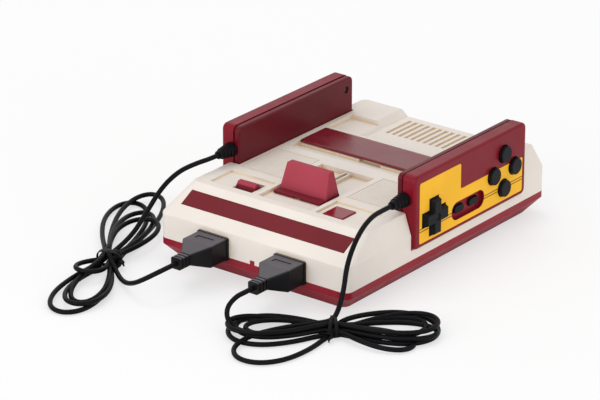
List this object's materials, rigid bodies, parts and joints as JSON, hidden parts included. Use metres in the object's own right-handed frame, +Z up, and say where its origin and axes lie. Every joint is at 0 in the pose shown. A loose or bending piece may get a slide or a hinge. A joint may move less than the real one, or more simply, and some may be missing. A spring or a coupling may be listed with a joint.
{
  "type": "game console with controllers",
  "caption": "Table-top cartridge game console with a sliding eject lever, a flap over its slot and wired controllers docked in its sides.",
  "frame": {"origin": "on the table, under the middle of the console with its docked controllers", "axes": "+X to the console's right seen from its front, +Y from the front to the rear, +Z up"},
  "size_m": [0.2866, 0.32, 0.0726],
  "materials": {
    "cream_plastic": "satin",
    "crimson_plastic": "satin",
    "maroon_label": "matt",
    "yellow_plate": "satin",
    "black_plastic": "satin",
    "black_rubber": "matt",
    "grey_rubber": "matt",
    "green_board": "satin",
    "steel": "satin"
  },
  "bodies": {
    "console": {"base_shell": "crimson_plastic", "rubber_feet": "grey_rubber", "case_screws": "steel", "top_shell": "cream_plastic", "front_label": "maroon_label", "flap_hinge_pin": "steel", "eject_spring": "steel", "switch_board": "green_board", "power_switch": "black_plastic", "reset_switch": "black_plastic", "main_board": "green_board", "board_components": "black_plastic", "cartridge_connector": "black_plastic", "board_screws": "steel", "controller_ports": "black_plastic", "rear_sockets": "black_plastic", "left_plug": "black_rubber", "right_plug": "black_rubber", "left_plug_cord": "black_rubber", "right_plug_cord": "black_rubber", "left_controller_cord": "black_rubber", "right_controller_cord": "black_rubber", "left_hank": "black_rubber", "right_hank": "black_rubber", "cord_ties": "black_rubber"},
    "flap": {"cartridge_flap": "crimson_plastic"},
    "eject_lever": {"eject_lever": "crimson_plastic"},
    "ejector_lifter": {"ejector_lifter": "black_plastic"},
    "power_knob": {"power_knob": "crimson_plastic"},
    "reset_button": {"reset_button": "crimson_plastic"},
    "right_controller": {"right_controller_front": "crimson_plastic", "right_controller_back": "crimson_plastic", "right_face_plate": "yellow_plate", "right_controller_screws": "steel", "right_controller_board": "green_board", "right_button_mats": "grey_rubber", "right_strain_relief": "black_rubber"},
    "right_dpad_pivot": {"right_dpad_pivot": "black_plastic"},
    "right_dpad": {"right_dpad": "black_plastic"},
    "right_button_outer": {"right_button_outer": "black_plastic"},
    "right_button_upper": {"right_button_upper": "black_plastic"},
    "right_button_inner": {"right_button_inner": "black_plastic"},
    "right_button_lower": {"right_button_lower": "black_plastic"},
    "right_select_key": {"right_select_key": "black_plastic"},
    "right_start_key": {"right_start_key": "black_plastic"},
    "left_controller": {"left_controller_front": "crimson_plastic", "left_controller_back": "crimson_plastic", "left_face_plate": "yellow_plate", "left_controller_screws": "steel", "left_controller_board": "green_board", "left_button_mats": "grey_rubber", "left_strain_relief": "black_rubber"},
    "left_dpad_pivot": {"left_dpad_pivot": "black_plastic"},
    "left_dpad": {"left_dpad": "black_plastic"},
    "left_button_outer": {"left_button_outer": "black_plastic"},
    "left_button_upper": {"left_button_upper": "black_plastic"},
    "left_button_inner": {"left_button_inner": "black_plastic"},
    "left_button_lower": {"left_button_lower": "black_plastic"},
    "left_select_key": {"left_select_key": "black_plastic"},
    "left_start_key": {"left_start_key": "black_plastic"}
  },
  "joints": [
    {"name": "flap_hinge", "type": "hinge", "parent": "console", "child": "flap", "pos_m": [0, 0.04235, 0.0462], "axis": [-1, 0, 0], "range_deg": [0, 100]},
    {"name": "eject_slide", "type": "slide", "parent": "console", "child": "eject_lever", "axis": [0, 1, 0], "range_m": [0, 0.018], "stiffness_N_per_m": 60, "springref_m": -0.006, "deforming": ["eject_spring"]},
    {"name": "lifter_slide", "type": "slide", "parent": "console", "child": "ejector_lifter", "axis": [0, 0, 1], "range_m": [0, 0.008]},
    {"name": "power_slide", "type": "slide", "parent": "console", "child": "power_knob", "axis": [0, 1, 0], "range_m": [-0.003, 0.003]},
    {"name": "reset_press", "type": "slide", "parent": "console", "child": "reset_button", "axis": [0, 0, -1], "range_m": [0, 0.0015], "stiffness_N_per_m": 300, "springref_m": -0.0006},
    {"name": "right_controller_lift", "type": "slide", "parent": "console", "child": "right_controller", "axis": [0, 0, 1], "range_m": [0, 0.04], "deforming": ["right_controller_cord"]},
    {"name": "right_dpad_up_down", "type": "hinge", "parent": "right_controller", "child": "right_dpad_pivot", "pos_m": [0.0717, -0.02095, 0.0405], "axis": [0, 1, 0], "range_deg": [-5, 5], "stiffness_Nm_per_rad": 0.2},
    {"name": "right_dpad_left_right", "type": "hinge", "parent": "right_dpad_pivot", "child": "right_dpad", "pos_m": [0.0717, -0.02095, 0.0405], "axis": [0, 0, 1], "range_deg": [-5, 5], "stiffness_Nm_per_rad": 0.2},
    {"name": "right_button_outer_press", "type": "slide", "parent": "right_controller", "child": "right_button_outer", "axis": [-1, 0, 0], "range_m": [0, 0.0012], "stiffness_N_per_m": 300, "springref_m": -0.0006},
    {"name": "right_button_upper_press", "type": "slide", "parent": "right_controller", "child": "right_button_upper", "axis": [-1, 0, 0], "range_m": [0, 0.0012], "stiffness_N_per_m": 300, "springref_m": -0.0006},
    {"name": "right_button_inner_press", "type": "slide", "parent": "right_controller", "child": "right_button_inner", "axis": [-1, 0, 0], "range_m": [0, 0.0012], "stiffness_N_per_m": 300, "springref_m": -0.0006},
    {"name": "right_button_lower_press", "type": "slide", "parent": "right_controller", "child": "right_button_lower", "axis": [-1, 0, 0], "range_m": [0, 0.0012], "stiffness_N_per_m": 300, "springref_m": -0.0006},
    {"name": "right_select_key_press", "type": "slide", "parent": "right_controller", "child": "right_select_key", "axis": [-1, 0, 0], "range_m": [0, 0.0012], "stiffness_N_per_m": 300, "springref_m": -0.0006},
    {"name": "right_start_key_press", "type": "slide", "parent": "right_controller", "child": "right_start_key", "axis": [-1, 0, 0], "range_m": [0, 0.0012], "stiffness_N_per_m": 300, "springref_m": -0.0006},
    {"name": "left_controller_lift", "type": "slide", "parent": "console", "child": "left_controller", "axis": [0, 0, 1], "range_m": [0, 0.04], "deforming": ["left_controller_cord"]},
    {"name": "left_dpad_up_down", "type": "hinge", "parent": "left_controller", "child": "left_dpad_pivot", "pos_m": [-0.0717, 0.06045, 0.0405], "axis": [0, 1, 0], "range_deg": [-5, 5], "stiffness_Nm_per_rad": 0.2},
    {"name": "left_dpad_left_right", "type": "hinge", "parent": "left_dpad_pivot", "child": "left_dpad", "pos_m": [-0.0717, 0.06045, 0.0405], "axis": [0, 0, 1], "range_deg": [-5, 5], "stiffness_Nm_per_rad": 0.2},
    {"name": "left_button_outer_press", "type": "slide", "parent": "left_controller", "child": "left_button_outer", "axis": [1, 0, 0], "range_m": [0, 0.0012], "stiffness_N_per_m": 300, "springref_m": -0.0006},
    {"name": "left_button_upper_press", "type": "slide", "parent": "left_controller", "child": "left_button_upper", "axis": [1, 0, 0], "range_m": [0, 0.0012], "stiffness_N_per_m": 300, "springref_m": -0.0006},
    {"name": "left_button_inner_press", "type": "slide", "parent": "left_controller", "child": "left_button_inner", "axis": [1, 0, 0], "range_m": [0, 0.0012], "stiffness_N_per_m": 300, "springref_m": -0.0006},
    {"name": "left_button_lower_press", "type": "slide", "parent": "left_controller", "child": "left_button_lower", "axis": [1, 0, 0], "range_m": [0, 0.0012], "stiffness_N_per_m": 300, "springref_m": -0.0006},
    {"name": "left_select_key_press", "type": "slide", "parent": "left_controller", "child": "left_select_key", "axis": [1, 0, 0], "range_m": [0, 0.0012], "stiffness_N_per_m": 300, "springref_m": -0.0006},
    {"name": "left_start_key_press", "type": "slide", "parent": "left_controller", "child": "left_start_key", "axis": [1, 0, 0], "range_m": [0, 0.0012], "stiffness_N_per_m": 300, "springref_m": -0.0006}
  ],
  "couplings": [
    {"joint": "lifter_slide", "follows": "eject_slide", "ratio": 0.4444}
  ]
}
